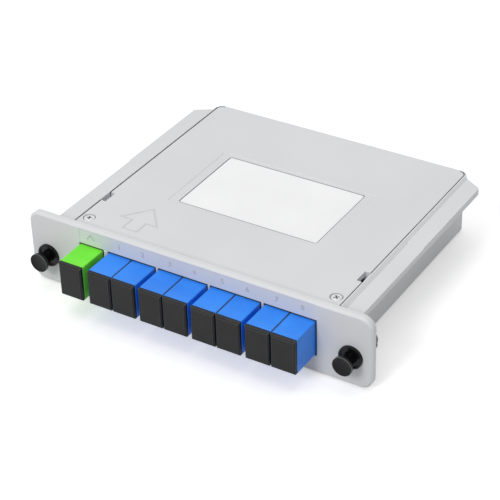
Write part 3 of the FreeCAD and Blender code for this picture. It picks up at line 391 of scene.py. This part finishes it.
def ringRound(low, high, radius, inner, outer, bottom, top):
    # A ring that follows a rounded rectangle, between two distances outside it. Returns its upper points.
    bm = bmesh.new()
    middle = Vector(((low.x + high.x) / 2, (low.y + high.y) / 2, bottom)) * mm
    size = Vector((high.x - low.x + 2 * outer, high.y - low.y + 2 * outer, 1)) * mm
    bmesh.ops.create_grid(bm, x_segments=1, y_segments=1, size=0.5,
                          matrix=Matrix.Translation(middle) @ Matrix.Diagonal((*size, 1)))
    bmesh.ops.bevel(bm, geom=bm.verts[:], offset=(radius + outer) * mm, segments=strips["cornerSteps"],
                    profile=0.5, affect="VERTICES", material=-1)
    bm.normal_update()
    inside = bm.faces[:]
    bmesh.ops.inset_region(bm, faces=inside, thickness=(outer - inner) * mm, use_even_offset=True,
                           use_boundary=True)
    bmesh.ops.delete(bm, geom=inside, context="FACES_ONLY")
    lifted = bmesh.ops.extrude_face_region(bm, geom=bm.faces[:])
    upper = [item for item in lifted["geom"] if isinstance(item, bmesh.types.BMVert)]
    bmesh.ops.translate(bm, verts=upper, vec=(0, 0, (top - bottom) * mm))
    bmesh.ops.recalc_face_normals(bm, faces=bm.faces)
    return bm, upper


coverTop, rearY, notchY = coverHigh.z, coverHigh.y, panelFace + strips["notchAt"]
lipHalf = coverHigh.x - strips["lipShort"]
seamShadeTop = coverTop - strips["seamShadeDepth"]
# A dark strip in the seam, short of the notches and the rear: painted shade in the gap.
bm, upper = ringRound(coverLow, coverHigh, strips["corner"], strips["clear"],
                      strips["gap"] - strips["clear"], seamShadeTop - strips["seamShadeHeight"], seamShadeTop)
for cutY in (notchY - strips["notchHalf"], notchY + strips["notchHalf"]):
    bmesh.ops.bisect_plane(bm, geom=everything(bm), plane_co=(0, cutY * mm, 0), plane_no=(0, 1, 0))
for cutX in (-lipHalf, lipHalf):
    bmesh.ops.bisect_plane(bm, geom=everything(bm), plane_co=(cutX * mm, 0, 0), plane_no=(1, 0, 0))
openParts = []
for part in bm.faces:
    spot = part.calc_center_median() / mm
    if abs(spot.y - notchY) < strips["notchHalf"] or (spot.y > rearY and abs(spot.x) < lipHalf):
        openParts.append(part)
bmesh.ops.delete(bm, geom=openParts, context="FACES")
closeEnds(bm)
sharpByAngle(bm, pieceAngle)
finishedObject("coverSeamShade", toMesh(bm, "coverSeamShade"), "paintedGapShade")


def addBox(bm, low, high):
    middle, size = (Vector(low) + Vector(high)) / 2 * mm, (Vector(high) - Vector(low)) * mm
    bmesh.ops.create_cube(bm, size=1.0, matrix=Matrix.Translation(middle) @ Matrix.Diagonal((*size, 1)))


bm = bmesh.new()
addBox(bm, (-lipHalf, rearY - strips["bevel"], coverTop - strips["bevel"]),
       (lipHalf, rearY + strips["gap"] - strips["clear"], coverTop))
lipCorner = Vector((0, rearY, coverTop - strips["bevel"])) * mm
bmesh.ops.bisect_plane(bm, geom=everything(bm), plane_co=lipCorner, plane_no=(0, -1, -1), clear_outer=True)
closeEnds(bm)
finishedObject("coverRearLip", toMesh(bm, "coverRearLip"), "housingPlastic")

# The dark strip round the label is painted shade in its groove. It is level with the label at its left and
# rear, and with the recess at its front and right.
labelLow, labelHigh = boxInMm("blank_label")
fieldFloor = coverTop - strips["fieldRecess"] - strips["edgeDepth"]
bm, upper = ringRound(labelLow, labelHigh, strips["labelCorner"], strips["clear"],
                      strips["labelGap"] - strips["clear"], labelLow.z, labelHigh.z)
for vert in upper:
    fromSide = min(labelHigh.x - vert.co.x / mm, vert.co.y / mm - labelLow.y)
    share = 1 - min(1, max(0, fromSide / strips["labelCorner"]))
    vert.co.z += (fieldFloor - labelHigh.z) * share * mm
sharpByAngle(bm, pieceAngle)
finishedObject("labelGrooveShade", toMesh(bm, "labelGrooveShade"), "paintedGapShade")


def finishedBoxes(name, boxes, look):
    bm = bmesh.new()
    for low, high in boxes:
        addBox(bm, low, high)
    return finishedObject(name, toMesh(bm, name), look)


# Dark strips in the port openings, and a dark strip between the two adapters of a pair: painted shade in
# these gaps.
ports = {"openings": 5, "height": 12.8, "gap": 0.30, "clear": 0.02, "portShadeFront": 0.20, "portShadeRear": 1.40,
         "gapShadeInset": 0.30, "gapShadeClear": 0.01, "headTop": 0.12, "headFoot": 0.16, "headWidth": 0.42}
for opening in range(ports["openings"]):
    first = "adapter_out_%d" % (2 * opening - 1) if opening else "adapter_in"
    last = "adapter_out_%d" % (2 * opening) if opening else "adapter_in"
    firstLow, firstHigh = boxInMm(first)
    lastLow, lastHigh = boxInMm(last)
    middleZ = (firstLow.z + firstHigh.z) / 2
    top, bottom = middleZ + ports["height"] / 2, middleZ - ports["height"] / 2
    near, far = panelFace + ports["portShadeFront"], panelFace + ports["portShadeRear"]
    left, right, reach, thin = firstLow.x, lastHigh.x, ports["gap"] - ports["clear"], ports["clear"]
    sides = [((left - reach, near, top + thin), (right + reach, far, top + reach)),
             ((left - reach, near, bottom - reach), (right + reach, far, bottom - thin)),
             ((left - reach, near, bottom - thin), (left - thin, far, top + thin)),
             ((right + thin, near, bottom - thin), (right + reach, far, top + thin))]
    finishedBoxes("portShade_%d" % opening, sides, "paintedGapShade")
    if opening:
        # a dark T-shaped strip between the two adapters: painted shade in their gap
        middleX, near = (firstHigh.x + lastLow.x) / 2, firstLow.y + ports["gapShadeInset"]
        halfStem, halfHead = (lastLow.x - firstHigh.x) / 2 - ports["gapShadeClear"], ports["headWidth"] / 2
        foot, crown = top - ports["headFoot"], top - ports["headTop"]
        gapShadeBoxes = [((middleX - halfStem, near, bottom + ports["gap"]), (middleX + halfStem, far, foot)),
                  ((middleX - halfHead, near, foot), (middleX + halfHead, far, crown))]
        finishedBoxes("pairGapShade_%d" % opening, gapShadeBoxes, "paintedGapShade")
print("stage: strips")


# Plain port numbers and an input mark, raised a little from the strip over the ports.
marks = {"height": 2.0, "fontScale": 1.35, "raise": 0.09, "bevel": 0.02, "stripDepth": 0.12,
         "underEdge": 3.2, "sink": 0.02, "rimAngle": 0.5, "rimShare": 0.45, "inputDrop": 1.0,
         "chevron": [(-1.7, 0), (-1.25, 0), (0, 1.6), (1.25, 0), (1.7, 0), (0, 2.15)]}
numberZ = baseHigh.z - marks["underEdge"]
stripFace = panelFace + marks["stripDepth"]


def raisedText(name, word, x):
    curve = bpy.data.curves.new(name, "FONT")
    curve.body = word
    curve.size = marks["height"] * mm * marks["fontScale"]
    curve.extrude = marks["raise"] * mm / 2
    curve.bevel_depth = marks["bevel"] * mm
    curve.bevel_resolution = 1
    curve.align_x = "CENTER"
    text = bpy.data.objects.new(name, curve)
    bpy.context.scene.collection.objects.link(text)
    bpy.context.view_layer.update()
    view = bpy.context.evaluated_depsgraph_get()
    mesh = bpy.data.meshes.new_from_object(text.evaluated_get(view))
    bpy.data.objects.remove(text)
    foot = Vector((x, stripFace - marks["sink"], numberZ - marks["height"] / 2)) * mm
    mesh.transform(Matrix.Translation(foot) @ Matrix.Rotation(math.radians(90), 4, "X"))
    return finishedObject(name, mesh, "markGrey")


for port in range(1, 2 * ports["openings"] - 1):
    adapterLow, adapterHigh = boxInMm("adapter_out_%d" % port)
    raisedText("portNumber_%d" % port, str(port), (adapterLow.x + adapterHigh.x) / 2)


def raisedOutline(name, corners, line, height, place, look):
    # A raised rib that follows the corners, in the plane z = 0 of the place. With no line it is filled.
    bm = bmesh.new()
    points = [bm.verts.new((x * mm, y * mm, 0)) for x, y in corners]
    face = bm.faces.new(points)
    face.normal_update()
    if line:
        bmesh.ops.inset_region(bm, faces=[face], thickness=line * mm, use_even_offset=True,
                               use_boundary=True)
        bmesh.ops.delete(bm, geom=[face], context="FACES_ONLY")
    bmesh.ops.recalc_face_normals(bm, faces=bm.faces)
    lifted = bmesh.ops.extrude_face_region(bm, geom=bm.faces[:])
    tops = [item for item in lifted["geom"] if isinstance(item, bmesh.types.BMVert)]
    bmesh.ops.translate(bm, verts=tops, vec=(0, 0, height * mm))
    bmesh.ops.recalc_face_normals(bm, faces=bm.faces)
    rims = []
    for edge in bm.edges:
        raised = all(vert.co.z > height * mm / 2 for vert in edge.verts)
        if raised and len(edge.link_faces) == 2 and edge.calc_face_angle(0) > marks["rimAngle"]:
            rims.append(edge)
    bmesh.ops.bevel(bm, geom=rims, offset=height * mm * marks["rimShare"], segments=2, profile=0.5,
                    affect="EDGES", material=-1)
    bmesh.ops.transform(bm, matrix=place, verts=bm.verts)
    sharpByAngle(bm, pieceAngle)
    return finishedObject(name, toMesh(bm, name), look)


# A plain arrow on the cover shows which way the box slides in.
arrow = {"x": -31.0, "fromCoverFront": 7.0, "headWidth": 15.5, "headLength": 9.4, "stemWidth": 6.2,
         "stemLength": 5.6, "line": 0.55, "raise": 0.12, "sink": 0.02}
half, tip = arrow["headWidth"] / 2, arrow["headLength"]
stem, tail = arrow["stemWidth"] / 2, arrow["stemLength"]
arrowCorners = [(-stem, 0), (stem, 0), (stem, tail), (half, tail), (0, tail + tip), (-half, tail),
                (-stem, tail)]
arrowFoot = Vector((arrow["x"], coverLow.y + arrow["fromCoverFront"], coverHigh.z - arrow["sink"])) * mm
raisedOutline("insertArrow", arrowCorners, arrow["line"], arrow["raise"] + arrow["sink"],
              Matrix.Translation(arrowFoot), "signGrey")

adapterLow, adapterHigh = boxInMm("adapter_in")
inputX, inputZ = (adapterLow.x + adapterHigh.x) / 2, numberZ - marks["inputDrop"]
inputFoot = Vector((inputX, stripFace + marks["sink"], inputZ)) * mm
raisedOutline("inputMark", marks["chevron"], 0, marks["raise"] + marks["sink"],
              Matrix.Translation(inputFoot) @ Matrix.Rotation(math.radians(90), 4, "X"), "markGrey")
print("stage: marks")


# Floor, light and camera. The camera was solved from the photograph's edges.
setup = {"lens": 120.41, "sensor": 36.0, "cameraAt": (250.70, -361.21 + panelFace, 321.78),
         "azimuth": 0.564, "elevation": 0.585, "roll": -0.030,
         "floorSize": 0.7, "floorDrop": 0.0002, "floorTone": 0.86, "floorGlow": 0.36, "floorBounce": 0.50,
         "worldStrength": 0.55,
         "keyLamp": 8.1, "keySize": 0.5, "keyAt": (-0.113, -1.290, 0.940),
         "topLamp": 5.5, "topSize": 1.4, "topAt": (-0.10, 0.10, 1.40)}


def seenRays(nodes, links):
    # Camera, mirror and see-through rays meet the pale background; the rest carry its light.
    path = nodes.new("ShaderNodeLightPath")
    pair = nodes.new("ShaderNodeMath")
    pair.operation = "MAXIMUM"
    links.new(path.outputs["Is Camera Ray"], pair.inputs[0])
    links.new(path.outputs["Is Glossy Ray"], pair.inputs[1])
    rays = nodes.new("ShaderNodeMath")
    rays.operation = "MAXIMUM"
    links.new(pair.outputs["Value"], rays.inputs[0])
    links.new(path.outputs["Is Transmission Ray"], rays.inputs[1])
    return rays.outputs["Value"]


bm = bmesh.new()
bmesh.ops.create_grid(bm, x_segments=1, y_segments=1, size=setup["floorSize"])
floor = bpy.data.objects.new("floor", toMesh(bm, "floor"))
floor.location = (0, 0, -setup["floorDrop"])
bpy.context.scene.collection.objects.link(floor)
floorMaterial = bpy.data.materials.new("floorPaper")
floorMaterial.use_nodes = True
nodes, links = floorMaterial.node_tree.nodes, floorMaterial.node_tree.links
nodes.clear()
output = nodes.new("ShaderNodeOutputMaterial")
seenPaper = nodes.new("ShaderNodeBsdfDiffuse")
seenPaper.inputs["Color"].default_value = (setup["floorTone"],) * 3 + (1,)
glow = nodes.new("ShaderNodeEmission")
glow.inputs["Strength"].default_value = setup["floorGlow"]
litPaper = nodes.new("ShaderNodeAddShader")
links.new(seenPaper.outputs["BSDF"], litPaper.inputs[0])
links.new(glow.outputs["Emission"], litPaper.inputs[1])
bounce = nodes.new("ShaderNodeBsdfDiffuse")
bounce.inputs["Color"].default_value = (setup["floorBounce"],) * 3 + (1,)
either = nodes.new("ShaderNodeMixShader")
links.new(seenRays(nodes, links), either.inputs["Fac"])
links.new(bounce.outputs["BSDF"], either.inputs[1])
links.new(litPaper.outputs["Shader"], either.inputs[2])
links.new(either.outputs["Shader"], output.inputs["Surface"])
floor.data.materials.append(floorMaterial)

world = bpy.data.worlds.new("studio")
bpy.context.scene.world = world
world.use_nodes = True
nodes, links = world.node_tree.nodes, world.node_tree.links
nodes.clear()
output = nodes.new("ShaderNodeOutputWorld")
sky = nodes.new("ShaderNodeBackground")
sky.inputs["Color"].default_value = (1, 1, 1, 1)
strength = nodes.new("ShaderNodeMapRange")
strength.inputs["To Min"].default_value = setup["worldStrength"]
strength.inputs["To Max"].default_value = 1.0
links.new(seenRays(nodes, links), strength.inputs["Value"])
links.new(strength.outputs["Result"], sky.inputs["Strength"])
links.new(sky.outputs["Background"], output.inputs["Surface"])


def softLamp(name, watts, size, at):
    # A round lamp that looks at the origin.
    lamp = bpy.data.lights.new(name, "AREA")
    lamp.energy = watts
    lamp.shape = "DISK"
    lamp.size = size
    holder = bpy.data.objects.new(name, lamp)
    holder.location = at
    holder.rotation_euler = (-Vector(at)).to_track_quat("-Z", "Y").to_euler()
    bpy.context.scene.collection.objects.link(holder)


for lampName in ("key", "top"):
    softLamp(lampName + "Lamp", setup[lampName + "Lamp"], setup[lampName + "Size"], setup[lampName + "At"])

camera = bpy.data.cameras.new("camera")
camera.lens = setup["lens"]
camera.sensor_width = setup["sensor"]
cameraObject = bpy.data.objects.new("camera", camera)
swing, rise, roll = setup["azimuth"], setup["elevation"], setup["roll"]
back = Vector((math.sin(swing) * math.cos(rise), -math.cos(swing) * math.cos(rise), math.sin(rise)))
right = Vector((math.cos(swing), math.sin(swing), 0))
up = back.cross(right)
rolledRight = right * math.cos(roll) + up * math.sin(roll)
rolledUp = up * math.cos(roll) - right * math.sin(roll)
pose = Matrix((rolledRight, rolledUp, back)).transposed().to_4x4()
pose.translation = Vector(setup["cameraAt"]) * mm
cameraObject.matrix_world = pose
bpy.context.scene.collection.objects.link(cameraObject)
bpy.context.scene.camera = cameraObject
bpy.context.scene.view_settings.view_transform = "Standard"
print("stage: light and camera")
